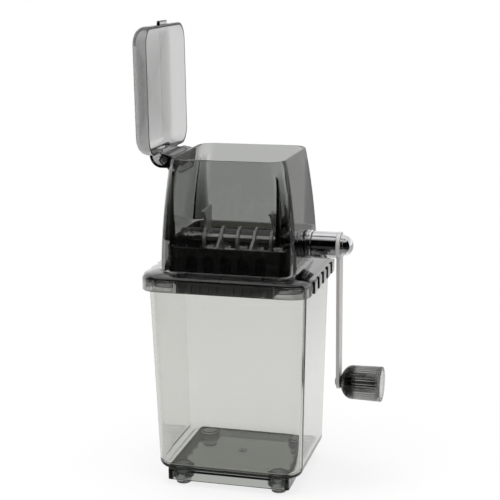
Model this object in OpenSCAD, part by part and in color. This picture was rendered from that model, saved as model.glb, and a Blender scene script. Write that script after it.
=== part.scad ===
// Hand-cranked ice crusher: a clear container on feet, a lift-off crusher head with a tall
// hopper, a hinged lid, and a crank that turns five hooked claws between two fixed combs.
// Millimetres. +X is the crank side, -Y the front, +Z up. The origin is on the plane of the feet,
// under the centre of the container.

/* [Container] */
// Width of the container at its rim, along X
container_w = 115.2; // [105:1:125]
// Depth of the container at its rim, along Y
container_d = 99.6; // [92:1:108]
// Height of the container, floor to rim
container_h = 144.5; // [125:1:170]
// How much narrower each side is near the floor
container_taper = 4; // [2:0.5:6]
// Wall thickness of the container
container_wall = 2.2; // [1.8:0.1:2.6]
// Radius of the upright corners
container_corner = 13; // [9:1:15]
// Radius between the walls and the floor
floor_round = 4.5; // [3:0.5:7]

/* [Base tray and feet] */
// Height of the skirt that hangs under the floor
tray_skirt = 5.8; // [4:0.2:7]
// Thickness of the tray's plate
tray_plate = 2.2; // [1.8:0.1:3]
// Wall of the tray's skirt at the front and rear
tray_wall = 2; // [1.5:0.1:2.6]
// Wall of the tray's skirt at the sides
tray_side = 3.2; // [2.6:0.1:4]
// Corner radius of the tray
tray_corner = 2; // [1:0.5:4]
// Ribs inside each end of the skirt
tray_ribs = 5; // [3:1:7]
// Spacing of those ribs
tray_rib_pitch = 13; // [10:1:14]
// Height of a foot, from the ground to the container's floor
foot_h = 12.5; // [11:0.5:15]
// Radius of a foot where it meets the floor
foot_r = 6.8; // [5.5:0.1:7.5]
// Distance between the feet along X
foot_span_x = 72.4; // [64:1:74]
// Distance between the feet along Y
foot_span_y = 68; // [60:1:69]

/* [Hopper] */
// Width of the hopper's rim, along X
rim_w = 83; // [78:1:88]
// Depth of the hopper's rim, along Y
rim_d = 83.8; // [79:1:87]
// How much wider each end of the hopper is at its foot, along X
hopper_flare_x = 8; // [5:0.5:9]
// How much deeper each face of the hopper is at its foot, along Y
hopper_flare_y = 3.2; // [1:0.2:4]
// Height of the hopper above the deck
hopper_h = 82; // [70:1:95]
// Wall thickness of the hopper
hopper_wall = 2.4; // [2:0.1:2.8]
// Radius of the hopper's upright corners
hopper_corner = 10; // [8:0.5:13]

/* [Collar] */
// How far the collar stands out past the container's rim on each side, along X
collar_over_x = 4; // [3.2:0.2:6]
// How far it stands out past the container's rim on each side, along Y
collar_over_y = 4.2; // [3.2:0.2:6]
// How far the collar's skirt hangs down
collar_drop = 10.3; // [8:0.5:14]
// Wall of the collar's skirt
collar_wall = 2.2; // [1.8:0.1:2.6]
// Thickness of the deck between the collar and the hopper
deck_t = 2.7; // [2.2:0.1:4]
// Rise of the deck from its edge to the hopper
deck_rise = 1.7; // [1:0.1:3]
// Grip ribs on each end of the collar
grip_ribs = 5; // [3:1:6]
// Spacing of the grip ribs
grip_pitch = 15; // [12:1:16]
// How far a grip rib stands proud
grip_proud = 1.2; // [0.8:0.1:1.6]

/* [Crushing chamber] */
// Gap between the black frame's cheeks and the hopper's ends
frame_end_gap = 0.55; // [0.4:0.05:1.2]
// Gap between the black frame's walls and the hopper's front and back
frame_side_gap = 1.8; // [0.6:0.1:4]
// Wall of the frame along the front and back
frame_wall = 3.2; // [2.6:0.2:4]
// Thickness of the end cheeks that carry the bushes
cheek_t = 3.3; // [2.8:0.1:4]
// Height of the cheeks above the deck
frame_rise = 23; // [19:0.5:28]
// How much lower the front wall is than the cheeks
front_dip = 4; // [2:0.5:6]
// Width of the outlet under the frame, along X
outlet_w = 71; // [66:1:74]
// Width of one slat on the outlet's faces
slat_w = 2.6; // [2:0.1:3.2]
// Slats on each side of the middle one
half_slats = 5; // [4:1:6]
// Thickness of the comb fingers
finger_t = 3; // [2:0.1:4]
// Height of the comb bars
comb_bar_h = 9; // [7:0.5:10]
// Gap between the tips of the front and rear fingers
comb_gap = 19; // [14:1:24]

/* [Rotor] */
// Height of the shaft above the deck
shaft_rise = 17; // [14:0.5:20]
// Reach of a claw from the shaft's axis
claw_reach = 26; // [22:0.5:28]
// Thickness of a claw
claw_t = 2; // [1.5:0.1:3]
// Radius of a claw's round hub
claw_hub_r = 10.5; // [9.5:0.1:12]
// Claws on the shaft
claws = 5; // [3:2:5]
// Room at the two ends of the row of claws, as a share of the claws' spacing
claw_end_room = 1.56; // [1.4:0.02:2]
// Width across the flats of the six-sided shaft between its bearings
shaft_af = 8; // [7:0.1:9]
// Radius of the spacers
spacer_r = 8.5; // [7.2:0.1:9.2]
// Outer radius of the bushes
bush_r = 8; // [7:0.1:9]

/* [Crank] */
// Length of the crank between its two axes
crank_throw = 101.7; // [90:1:112]
// Radius of the chrome hub and of the arm's head
hub_r = 9.8; // [8.5:0.1:11]
// Length of the chrome hub
hub_len = 18.3; // [15:0.5:24]
// Thickness of the arm
arm_t = 2.4; // [2:0.1:4]
// Width of the arm at its lower end
arm_w = 11; // [9:0.5:13]
// Width across the flats of the shaft inside the hub and the arm
drive_af = 6; // [5:0.1:6.4]
// Radius of the knob at its outer end
knob_r = 12.9; // [11:0.1:15]
// Length of the knob
knob_len = 30.5; // [26:0.5:36]
// Wall of the hollow knob
knob_wall = 2.2; // [1.8:0.1:3]
// Radius of the axle that the knob turns on
axle_r = 2.5; // [2:0.1:3]

/* [Lid] */
// How far the lid overhangs the hopper's rim at each end, along X
lid_over_x = 3.3; // [2.6:0.1:4]
// How far the lid overhangs the rim at the front and back, along Y
lid_over_y = 1.8; // [1:0.1:3]
// Height of the lid
lid_h = 11.7; // [10:0.1:15]
// Wall thickness of the lid
lid_wall = 2; // [1.6:0.1:2.6]
// Corner radius of the lid
lid_corner = 13; // [10:0.5:16]
// How far the open lid has swung back from closed, in degrees
lid_open = 90.5; // [88:0.5:100]
// Width of the thumb tab on the lid's free end
tab_w = 18; // [14:1:24]
// How far the thumb tab stands out
tab_out = 2.8; // [2:0.2:4]

/* [Hinge] */
// Distance of the hinge's axis outside the hopper's rim
hinge_out = 7.6; // [7.2:0.1:9]
// Distance of the hinge's axis below the hopper's rim
hinge_drop = 3.7; // [3.7:0.1:5]
// Radius of the hinge pin
hinge_pin_r = 1.5; // [1.2:0.1:1.8]
// Width of the lid's lug between the two ears
lug_w = 39.2; // [30:1:44]
// Thickness of each ear
ear_t = 4; // [3:0.2:5]

/* [Clearances] */
// Gap between parts that move past each other
move_gap = 0.3; // [0.2:0.05:0.5]
// Radial clearance of a running fit
run_gap = 0.05; // [0.02:0.01:0.08]
// Clearance of parts that are fixed together
seat_gap = 0.03; // [0.02:0.01:0.06]

/* [Hidden] */
function claw_name(i) = str("claw_", i + 1);
function spacer_name(i) = str("spacer_", i + 1);
FIXED_NODES = [
    "container", "base_tray", "foot_front_left", "foot_front_right", "foot_rear_left",
    "foot_rear_right", "hopper", "chamber_frame", "front_comb", "rear_comb", "left_bush",
    "right_bush", "frame_screws", "comb_screws", "hinge_pin", "drive_shaft", "left_collar",
    "right_collar", "crank_hub", "crank_arm", "cap_nut", "knob_axle", "knob", "knob_cap", "lid"
];

$fn = 64;
hull_fn = 40;
slice_t = 0.05;

// Colours
smoke_light = [0.80, 0.81, 0.80, 0.35];
smoke_mid = [0.55, 0.56, 0.55, 0.45];
smoke_dark = [0.42, 0.43, 0.43, 0.50];
black_plastic = [0.05, 0.05, 0.05];
grey_rubber = [0.35, 0.36, 0.36];
chrome = [0.85, 0.85, 0.87];
steel = [0.72, 0.72, 0.73];

// Heights
floor_z = foot_h;
rim_z = floor_z + container_h;
deck_z = rim_z + move_gap;
deck_edge_z = deck_z + deck_t;
hopper_top = deck_edge_z + hopper_h;
shaft_z = deck_edge_z + shaft_rise;
frame_top = deck_edge_z + frame_rise;
collar_bottom = deck_z - collar_drop;

// Container
box_hx = container_w / 2;
box_hy = container_d / 2;
foot_hx = box_hx - container_taper;
foot_hy = box_hy - container_taper;
// Half width at height z of a wall that leans from the floor to the rim
function box_x(z) = foot_hx + container_taper * (z - floor_z) / container_h;
function box_y(z) = foot_hy + container_taper * (z - floor_z) / container_h;

// Base tray
tray_in_x = 8;
tray_in_y = 2.5;
tray_hx = foot_hx - tray_in_x;
tray_hy = foot_hy - tray_in_y;
tray_inner_corner = 0.8;
tray_bottom = floor_z - tray_plate - tray_skirt;
boss_wall = 1.2;
foot_tip = 0.9;
foot_shoulder = floor_z - tray_plate - 2.4;
rib_reach = 3;

// Hopper
rim_hx = rim_w / 2;
rim_hy = rim_d / 2;
function hop_x(z) = rim_hx + hopper_flare_x * (hopper_top - z) / hopper_h;
function hop_y(z) = rim_hy + hopper_flare_y * (hopper_top - z) / hopper_h;
bearing_boss_r = bush_r + 2.2;
bearing_face = hop_x(shaft_z) + 1.3;

// Collar
collar_hx = box_hx + collar_over_x;
collar_hy = box_hy + collar_over_y;
collar_corner = container_corner + 1;
lip_gap = 0.4;
lip_t = 1.6;
lip_drop = 6;
panel_depth = 0.8;
panel_w = 20;
panel_h = 8.6;
panel_inset = 3.5;
grip_w = 4.5;

// Frame
frame_hx = hop_x(frame_top) - hopper_wall - frame_end_gap;
frame_hy = hop_y(frame_top) - hopper_wall - frame_side_gap;
frame_corner = 9;
plate_t = 2.4;
plate_z = deck_z - plate_t;
outlet_hx = outlet_w / 2;
tab_hy = box_hy - container_wall - lip_gap - 0.6;
outlet_wall = 2.4;
outlet_hy = tab_hy - 3;
slat_pitch = outlet_w / (2 * half_slats + 1.45);
slat_proud = 2.6;
slat_depth = 3;
outlet_bottom = collar_bottom + 0.6;
frame_screw_r = 1.1;
screw_head_r = 2;
frame_screw_x = (half_slats - 0.5) * slat_pitch;
frame_screw_y = tab_hy - screw_head_r;
head_gap = 0.2;
screw_head_h = 1.6;
screw_grip = 2.6;
arch_w = 8;
arch_h = 13;
arch_depth = 0.9;

// Rotor
half_claws = (claws - 1) / 2;
claw_pitch = 2 * (frame_hx - cheek_t) / (claws + claw_end_room);
function claw_x(i) = (i - half_claws) * claw_pitch;
function hex_r(across) = across / 2 / cos(30);
claw_phase = [0, 120, 240, 120, 0];
beak_tip_deg = 118;
beak_back_deg = 70;
neck_back = 7.8;
throat_r = 8.6;
stack_end = claw_x(claws - 1) + claw_t / 2;
cheek_in = frame_hx - cheek_t;
bush_in = cheek_in - 2.6;
journal_r_left = shaft_af / 2 - 0.1;
journal_r_right = hex_r(shaft_af) + 0.06;
bush_flange_t = 4.4;
hub_x0 = bearing_face + bush_flange_t + move_gap;
hub_x1 = hub_x0 + hub_len;
arm_x1 = hub_x1 + arm_t;
arm_flare = 1;
stud_r = 2.6;
stud_len = 5.5;
nut_len = 8.6;
nut_r = 8;
nut_rim = 2;

// Combs
comb_y = frame_hy - frame_wall;
comb_bar_t = 3;
comb_z = shaft_z - 12.5;
finger_h = 5;
fingers = claws + 1;
function finger_x(i) = (i - claws / 2) * claw_pitch;
comb_screw_r = 1.2;
comb_screw_x = frame_hx - cheek_t - 4;

// Crank
knob_z = shaft_z - crank_throw;
knob_x0 = arm_x1 + move_gap;
knob_x1 = knob_x0 + knob_len;
knob_neck_r = 4.5;
knob_dome = 8.5;
knob_draft = 0.5;
cap_t = 2.2;
cap_r = knob_r - knob_wall - 0.2;
cap_recess = 0.3;
axle_head_r = 3.7;
axle_head_t = 1.4;
axle_stop_r = 4.4;
axle_stop_t = 1.6;
tube_wall = 2;

// Lid and hinge
hinge_x = -(rim_hx + hinge_out);
hinge_z = hopper_top - hinge_drop;
lid_hx = rim_hx + lid_over_x;
lid_hy = rim_hy + lid_over_y;
lid_rim = hopper_top + move_gap;
lid_top = lid_rim + lid_h;
lid_edge = 7.5;
lug_drop = 3.2;
barrel_r = hinge_pin_r + 2.2;
ear_r = hinge_pin_r + 2.35;
block_face = hinge_x + barrel_r + 0.4;
block_top = hopper_top - 1.5;
block_h = 12;
lug_side_gap = move_gap + 0.1;
lug_left = 6.5;
lug_round = 9;
pocket_w = 23;
pocket_h = 4.6;
pocket_rise = 2.2;
pocket_reach = 2.5;
pin_head_r = hinge_pin_r + 0.8;
pin_head_t = 0.9;

// ---- Shared shapes ----

// A rectangle with round corners, given by its half sizes
module rounded_plate(hx, hy, r) {
    square([2 * hx, 2 * (hy - r)], center = true);
    square([2 * (hx - r), 2 * hy], center = true);
    for (sx = [-1, 1], sy = [-1, 1])
        translate([sx * (hx - r), sy * (hy - r)]) circle(r);
}

// One smooth body through level slices, each [height, half width, half depth, corner radius]
module slices(levels) {
    hull()
        for (s = levels)
            translate([0, 0, s[0]])
                linear_extrude(slice_t) rounded_plate(s[1], s[2], s[3], $fn = hull_fn);
}

// A block with round upright corners whose top edges are rounded over too
module pillow(hx, hy, r, low, high, edge) {
    bleed = 0.05;
    intersection() {
        translate([0, 0, low]) linear_extrude(high - low) rounded_plate(hx, hy, r);
        translate([0, 0, high - hx]) across_y(0, 3 * hy) rounded_plate(hx + bleed, hx, edge);
        translate([0, 0, high - hy]) rotate([0, 0, 90]) across_y(0, 3 * hx) rounded_plate(hy + bleed, hy, edge);
    }
}

// Turns a cylinder or profile drawn along Z so that it lies along +X, at height z
module along_x(x, z) {
    translate([x, 0, z]) rotate([0, 90, 0]) children();
}

// A six-sided bar along X, given by its width across the flats
module hex_bar(x0, x1, across, z) {
    along_x(x0, z) cylinder(r = hex_r(across), h = x1 - x0, $fn = 6);
}

// A pan-head screw standing on the origin, thread up, head below
module pan_screw(r, grip) {
    cylinder(r = r, h = grip);
    translate([0, 0, -screw_head_h]) difference() {
        cylinder(r = screw_head_r, h = screw_head_h);
        translate([-screw_head_r * 0.7, -0.25, -0.1]) cube([screw_head_r * 1.4, 0.5, 0.7]);
    }
}

// ---- Container, tray and feet ----

// Levels of the container's outside (inset 0) or inside (inset = wall)
function container_levels(inset, low, high) = [
    for (a = [0 : 22.5 : 90])
        let (
            r = floor_round,
            z = floor_z + r * (1 - cos(a)),
            back = r * (1 - sin(a))
        )
            [low + z - floor_z, box_x(z) - back - inset, box_y(z) - back - inset,
             container_corner - back * 0.5 - inset],
    [high, box_x(high) - inset, box_y(high) - inset, container_corner - inset]
];

module container() {
    color(smoke_light) difference() {
        slices(container_levels(0, floor_z, rim_z - slice_t));
        slices(container_levels(container_wall, floor_z + container_wall, rim_z + 1));
    }
}

module at_feet() {
    for (sx = [-1, 1], sy = [-1, 1])
        translate([sx * foot_span_x / 2, sy * foot_span_y / 2, 0]) children();
}

module base_tray() {
    color(smoke_mid) difference() {
        union() {
            difference() {
                translate([0, 0, tray_bottom])
                    linear_extrude(tray_skirt + tray_plate) rounded_plate(tray_hx, tray_hy, tray_corner);
                translate([0, 0, tray_bottom - 1])
                    linear_extrude(tray_skirt + 1)
                        rounded_plate(tray_hx - tray_side, tray_hy - tray_wall, tray_inner_corner);
            }
            at_feet() translate([0, 0, tray_bottom + 1])
                cylinder(r = foot_r + seat_gap + boss_wall, h = tray_skirt + tray_plate - 1.5);
            for (sx = [-1, 1], i = [0 : tray_ribs - 1])
                translate([sx * (tray_hx - tray_side - rib_reach / 2 + 0.5),
                           (i - (tray_ribs - 1) / 2) * tray_rib_pitch,
                           tray_bottom + (tray_skirt + 1) / 2])
                    cube([rib_reach, 1.4, tray_skirt + 1], center = true);
        }
        at_feet() translate([0, 0, tray_bottom - 1])
            cylinder(r = foot_r + seat_gap, h = tray_skirt + tray_plate + 2);
    }
}

module foot(sx, sy) {
    color(grey_rubber) translate([sx * foot_span_x / 2, sy * foot_span_y / 2, 0]) {
        cylinder(r1 = foot_r - foot_tip, r2 = foot_r, h = foot_shoulder);
        translate([0, 0, foot_shoulder]) cylinder(r = foot_r, h = floor_z - foot_shoulder);
    }
}

// ---- Crusher head ----

// Outline of the two hinge ears and the web that ties them to the hopper, seen along -Y
module ear_profile() {
    translate([hinge_x, hinge_z]) circle(ear_r);
    polygon([
        [hinge_x + 1, hinge_z + ear_r * 0.95],
        [-hop_x(block_top) + 1, block_top],
        [-hop_x(block_top - block_h) + 1, block_top - block_h - 3],
        [hinge_x + 1, hinge_z - ear_r * 0.95],
        [hinge_x, hinge_z]
    ]);
}

module block_profile() {
    polygon([
        [block_face, block_top],
        [-hop_x(block_top) + 1, block_top],
        [-hop_x(block_top - block_h) + 1, block_top - block_h - 3],
        [block_face, block_top - block_h]
    ]);
}

// Extrudes an outline drawn in X and Z, centred on y, width w
module across_y(y, w) {
    translate([0, y + w / 2, 0]) rotate([90, 0, 0]) linear_extrude(w) children();
}

module hopper() {
    color(smoke_dark) difference() {
        union() {
            difference() {
                union() {
                    slices([[deck_z, hop_x(deck_z), hop_y(deck_z), hopper_corner],
                            [hopper_top - slice_t, rim_hx, rim_hy, hopper_corner]]);
                    slices([[deck_z, collar_hx, collar_hy, collar_corner],
                            [deck_edge_z, collar_hx, collar_hy, collar_corner],
                            [deck_edge_z + deck_rise, hop_x(deck_edge_z) + 3, hop_y(deck_edge_z) + 3,
                             hopper_corner + 3]]);
                    along_x(0, shaft_z) cylinder(r = bearing_boss_r, h = bearing_face);
                }
                slices([[deck_z - 1, hop_x(deck_z - 1) - hopper_wall, hop_y(deck_z - 1) - hopper_wall,
                         hopper_corner - hopper_wall],
                        [hopper_top + 1, hop_x(hopper_top + 1) - hopper_wall,
                         hop_y(hopper_top + 1) - hopper_wall, hopper_corner - hopper_wall]]);
            }
            collar_skirt();
            locating_lip();
            for (side = [-1, 1])
                across_y(side * (lug_w / 2 + lug_side_gap + ear_t / 2), ear_t) ear_profile();
            across_y(0, lug_w + 2 * lug_side_gap + 1) block_profile();
        }
        along_x(0, shaft_z) cylinder(r = bush_r + seat_gap, h = bearing_face + 5);
        at_frame_screws() translate([0, 0, deck_z - 1])
            cylinder(r = frame_screw_r + seat_gap, h = screw_grip + 1);
        across_y_hole(hinge_pin_r + seat_gap);
        for (side = [-1, 1])
            translate([hinge_x, side * (lug_w / 2 + lug_side_gap + ear_t), hinge_z])
                rotate([90, 0, 0]) cylinder(r = pin_head_r + run_gap, h = 2 * pin_head_t, center = true);
    }
}

// The hinge's bore, straight through along Y
module across_y_hole(r) {
    translate([hinge_x, 0, hinge_z]) rotate([90, 0, 0]) cylinder(r = r, h = 2 * lug_w, center = true);
}

module collar_skirt() {
    translate([0, 0, collar_bottom]) difference() {
        union() {
            linear_extrude(collar_drop + deck_t / 2) rounded_plate(collar_hx, collar_hy, collar_corner);
            for (sx = [-1, 1], i = [0 : grip_ribs - 1])
                translate([sx * collar_hx, (i - (grip_ribs - 1) / 2) * grip_pitch, (collar_drop + deck_t / 2) / 2])
                    cube([2 * grip_proud, grip_w, collar_drop + deck_t / 2], center = true);
        }
        translate([0, 0, -1]) linear_extrude(collar_drop + 1)
            rounded_plate(collar_hx - collar_wall, collar_hy - collar_wall, collar_corner - collar_wall);
        translate([0, 0, collar_drop - 1]) linear_extrude(deck_t + 2)
            rounded_plate(collar_hx - collar_wall - 2, collar_hy - collar_wall - 2, collar_corner - collar_wall - 2);
        for (sx = [-1, 1], sy = [-1, 1])
            translate([sx * (collar_hx - panel_inset - panel_w / 2 - 1), sy * collar_hy,
                       collar_drop / 2 + 0.4])
                cube([panel_w, 2 * panel_depth, panel_h], center = true);
    }
}

// A lip that drops inside the container's rim at the two ends and keeps the head in place
module locating_lip() {
    lip_hx = box_x(deck_z - lip_drop) - container_wall - lip_gap;
    lip_hy = box_y(deck_z - lip_drop) - container_wall - lip_gap;
    lip_r = container_corner - container_wall;
    translate([0, 0, deck_z - lip_drop]) difference() {
        linear_extrude(lip_drop + deck_t / 2) rounded_plate(lip_hx, lip_hy, lip_r);
        translate([0, 0, -1]) linear_extrude(lip_drop + deck_t + 2)
            rounded_plate(lip_hx - lip_t, lip_hy - lip_t, lip_r - lip_t);
        cube([2 * (outlet_hx + 1.5), 4 * lip_hy, 4 * (lip_drop + deck_t)], center = true);
    }
}

module at_frame_screws() {
    for (sx = [-1, 1], sy = [-1, 1])
        translate([sx * frame_screw_x, sy * frame_screw_y, 0]) children();
}

module frame_screws() {
    color(steel) at_frame_screws() translate([0, 0, plate_z - seat_gap])
        pan_screw(frame_screw_r, plate_t + screw_grip - 0.4);
}

module comb_screws() {
    color(steel) for (side = [-1, 1])
        for (sx = [-1, 1])
            translate([sx * comb_screw_x, side * (comb_y - comb_bar_t), comb_z])
                rotate([-side * 90, 0, 0]) pan_screw(comb_screw_r, comb_bar_t + frame_wall - 0.6);
}

// The round-topped recess in front of each claw, drawn in X and Z from its foot
module arch_profile() {
    translate([-arch_w / 2, 0]) square([arch_w, arch_h - arch_w / 2]);
    translate([0, arch_h - arch_w / 2]) circle(arch_w / 2);
}

module chamber_frame() {
    color(black_plastic) difference() {
        union() {
            translate([0, 0, plate_z]) linear_extrude(frame_top - plate_z)
                rounded_plate(frame_hx, frame_hy, frame_corner);
            translate([-outlet_hx, -tab_hy, plate_z]) cube([2 * outlet_hx, 2 * tab_hy, plate_t]);
            translate([-outlet_hx, -outlet_hy, outlet_bottom])
                cube([2 * outlet_hx, 2 * outlet_hy, plate_z - outlet_bottom + 0.1]);
            for (side = [-1, 1], i = [-half_slats : half_slats])
                translate([i * slat_pitch, side * (outlet_hy + slat_proud - slat_depth / 2),
                           (outlet_bottom + plate_z + 0.1) / 2])
                    cube([slat_w, slat_depth, plate_z - outlet_bottom + 0.1], center = true);
        }
        translate([-cheek_in, -comb_y, plate_z + plate_t]) cube([2 * cheek_in, 2 * comb_y, frame_rise * 2]);
        translate([-outlet_hx + outlet_wall, -comb_y, outlet_bottom - 1])
            cube([2 * (outlet_hx - outlet_wall), 2 * comb_y, collar_drop + plate_t + 4]);
        translate([-frame_hx - 1, -frame_hy - 1, frame_top - front_dip])
            cube([2 * frame_hx + 2, frame_wall + frame_corner, front_dip + 1]);
        along_x(-frame_hx - 1, shaft_z) cylinder(r = bush_r + seat_gap, h = 2 * frame_hx + 2);
        at_frame_screws() {
            translate([0, 0, plate_z - 1]) cylinder(r = frame_screw_r + seat_gap, h = plate_t + screw_grip + 1);
            translate([0, 0, outlet_bottom - 1])
                cylinder(r = screw_head_r + head_gap, h = plate_z - outlet_bottom + 1);
        }
        for (side = [-1, 1], sx = [-1, 1])
            translate([sx * comb_screw_x, side * (comb_y - 1), comb_z])
                rotate([-side * 90, 0, 0]) cylinder(r = comb_screw_r + seat_gap, h = frame_wall + 0.6);
        for (side = [-1, 1], i = [0 : claws - 1])
            translate([claw_x(i), 0, deck_edge_z + 1])
                across_y(side * frame_hy, 2 * arch_depth) arch_profile();
    }
}

// A steel bar along the frame's wall with a finger between each pair of claws
module comb(side) {
    color(steel) difference() {
        union() {
            translate([-cheek_in + seat_gap, side > 0 ? comb_y - comb_bar_t : -comb_y, comb_z - comb_bar_h / 2])
                cube([2 * (cheek_in - seat_gap), comb_bar_t, comb_bar_h]);
            for (i = [0 : fingers - 1])
                translate([finger_x(i), 0, comb_z]) finger(side);
        }
        for (sx = [-1, 1])
            translate([sx * comb_screw_x, side * comb_y, comb_z])
                rotate([90, 0, 0]) cylinder(r = comb_screw_r + seat_gap, h = 4 * comb_bar_t, center = true);
    }
}

// One finger, from the bar to its tip
module finger(side) {
    root = comb_y - comb_bar_t + 0.5;
    tip = comb_gap / 2;
    taper = 3;
    translate([-finger_t / 2, 0, 0]) rotate([90, 0, 90]) linear_extrude(finger_t)
        polygon([
            [side * root, comb_bar_h / 2], [side * (tip + taper), finger_h / 2], [side * tip, 0],
            [side * (tip + taper), -finger_h / 2], [side * root, -comb_bar_h / 2]
        ]);
}

module front_comb() { comb(-1); }
module rear_comb() { comb(1); }

module left_bush() {
    color(chrome) difference() {
        along_x(-frame_hx, shaft_z) cylinder(r = bush_r, h = frame_hx - bush_in);
        along_x(-frame_hx + 1, shaft_z) cylinder(r = journal_r_left + run_gap, h = frame_hx);
    }
}

module right_bush() {
    color(black_plastic) difference() {
        union() {
            along_x(bush_in, shaft_z) cylinder(r = bush_r, h = bearing_face - bush_in + 0.1);
            along_x(bearing_face, shaft_z) cylinder(r = bearing_boss_r, h = bush_flange_t);
        }
        along_x(bush_in - 1, shaft_z) cylinder(r = journal_r_right + run_gap, h = 2 * frame_hx);
    }
}

module hinge_pin() {
    ear_end = lug_w / 2 + lug_side_gap + ear_t;
    color(steel) translate([hinge_x, 0, hinge_z]) rotate([90, 0, 0]) {
        cylinder(r = hinge_pin_r, h = 2 * (ear_end - pin_head_t), center = true);
        for (side = [-1, 1])
            translate([0, 0, side * (ear_end - pin_head_t / 2)])
                cylinder(r = pin_head_r, h = pin_head_t, center = true);
    }
}

// ---- Rotor ----

module drive_shaft() {
    color(steel) {
        along_x(-frame_hx + 1 + move_gap, shaft_z) cylinder(r = journal_r_left, h = frame_hx - bush_in);
        hex_bar(-bush_in + 0.4, bush_in - 0.4, shaft_af, shaft_z);
        along_x(bush_in - 0.4, shaft_z) cylinder(r = journal_r_right, h = hub_x0 - bush_in + 0.3);
        hex_bar(hub_x0 - 0.2, arm_x1 - 0.05, drive_af, shaft_z);
        along_x(arm_x1 - 0.1, shaft_z) cylinder(r = stud_r, h = stud_len);
    }
}

function polar(r, a) = [r * cos(a), r * sin(a)];

// A claw lying flat: its width runs along X, its beak points to -X and up along Y
module flat_claw() {
    beak_tip = polar(claw_reach, beak_tip_deg);
    beak_back = polar(claw_reach, beak_back_deg);
    difference() {
        union() {
            cylinder(r = claw_hub_r, h = claw_t);
            difference() {
                linear_extrude(claw_t)
                    polygon([beak_tip, beak_back, [neck_back, 0], [-claw_hub_r * 0.7, claw_hub_r * 0.4]]);
                translate([beak_tip[0] - 1, beak_tip[1] - throat_r - 0.9, -1])
                    cylinder(r = throat_r, h = claw_t + 2);
            }
        }
        translate([0, 0, -1]) rotate(30)
            cylinder(r = hex_r(shaft_af + 2 * run_gap), h = claw_t + 2, $fn = 6);
    }
}

module claw(i) {
    color(steel) translate([claw_x(i) - claw_t / 2, 0, shaft_z])
        rotate([claw_phase[i], 0, 0]) rotate([90, 0, 90]) flat_claw();
}

// A round sleeve on the six-sided shaft, from x0 to x1
module sleeve(x0, x1) {
    difference() {
        along_x(x0, shaft_z) cylinder(r = spacer_r, h = x1 - x0);
        hex_bar(x0 - 1, x1 + 1, shaft_af + 2 * run_gap, shaft_z);
    }
}

module spacer(i) {
    color(chrome) sleeve(claw_x(i) + claw_t / 2 + run_gap, claw_x(i + 1) - claw_t / 2 - run_gap);
}

module left_collar() {
    color(chrome) sleeve(-bush_in + move_gap, -stack_end - run_gap);
}

module right_collar() {
    color(chrome) sleeve(stack_end + run_gap, bush_in - 0.4 - run_gap);
}

module crank_hub() {
    color(chrome) difference() {
        along_x(hub_x0, shaft_z) cylinder(r = hub_r, h = hub_len);
        along_x(hub_x0 - 1, shaft_z) cylinder(r = journal_r_right + 0.1, h = 1.4);
        hex_bar(hub_x0 - 1, hub_x1 + 1, drive_af + 2 * run_gap, shaft_z);
    }
}

module crank_arm() {
    color(steel) difference() {
        union() {
            along_x(hub_x1, shaft_z) cylinder(r = hub_r, h = arm_t);
            along_x(hub_x1, knob_z) cylinder(r = arm_w / 2, h = arm_t);
            translate([hub_x1, 0, 0]) rotate([90, 0, 90]) linear_extrude(arm_t)
                polygon([[-arm_w / 2 - arm_flare, shaft_z], [arm_w / 2 + arm_flare, shaft_z],
                         [arm_w / 2, knob_z], [-arm_w / 2, knob_z]]);
        }
        hex_bar(hub_x1 - 1, arm_x1 + 1, drive_af + 2 * run_gap, shaft_z);
        along_x(hub_x1 - 1, knob_z) cylinder(r = axle_r + seat_gap, h = arm_t + 2);
    }
}

module cap_nut() {
    dome_r = nut_r - 0.6;
    dome_start = nut_len - dome_r * 0.8;
    color(chrome) along_x(arm_x1, shaft_z) difference() {
        rotate_extrude() intersection() {
            union() {
                square([nut_r, nut_rim]);
                square([dome_r, dome_start]);
                translate([0, dome_start]) scale([1, 0.8]) circle(dome_r);
            }
            square([nut_r + 1, nut_len + 1]);
        }
        translate([0, 0, -1]) cylinder(r = stud_r + run_gap, h = stud_len + 1.5);
    }
}

// The shouldered pin that is riveted to the arm and holds the knob
module knob_axle() {
    stop_x = knob_x1 - cap_t - cap_recess - 1 - axle_stop_t;
    color(steel) {
        along_x(hub_x1 - axle_head_t, knob_z) rotate_extrude() polygon([
            [0, 0], [axle_head_r * 0.6, 0], [axle_head_r, axle_head_t * 0.6],
            [axle_head_r, axle_head_t], [0, axle_head_t]
        ]);
        along_x(hub_x1 - 0.1, knob_z) cylinder(r = axle_r, h = stop_x - hub_x1 + 0.2);
        along_x(stop_x, knob_z) cylinder(r = axle_stop_r, h = axle_stop_t);
    }
}

// ---- Knob ----

// Half of the knob's section: radius across, distance from the arm up
module knob_profile() {
    inner_r = axle_r + run_gap;
    tube_r = inner_r + tube_wall;
    shoulder_r = knob_r - knob_draft;
    tube_end = knob_len - cap_t - cap_recess - 1 - axle_stop_t - move_gap;
    cup_floor = knob_dome + 1;
    difference() {
        union() {
            polygon([[0, 0], [knob_neck_r, 0], [knob_neck_r, knob_dome], [0, knob_dome]]);
            intersection() {
                translate([0, knob_dome]) scale([shoulder_r / knob_dome, 1]) circle(knob_dome);
                square([knob_r, knob_dome + 0.01]);
            }
            polygon([[0, knob_dome], [shoulder_r, knob_dome], [knob_r, knob_len], [0, knob_len]]);
        }
        translate([-1, -1]) square([inner_r + 1, knob_len + 2]);
        translate([tube_r, cup_floor]) square([shoulder_r - knob_wall - tube_r, knob_len]);
        translate([-1, tube_end]) square([shoulder_r - knob_wall + 1, knob_len]);
        translate([-1, knob_len - cap_t - cap_recess]) square([cap_r + run_gap + 1, knob_len]);
    }
}

module knob() {
    color(smoke_dark) along_x(knob_x0, knob_z) rotate_extrude() knob_profile();
}

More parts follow.
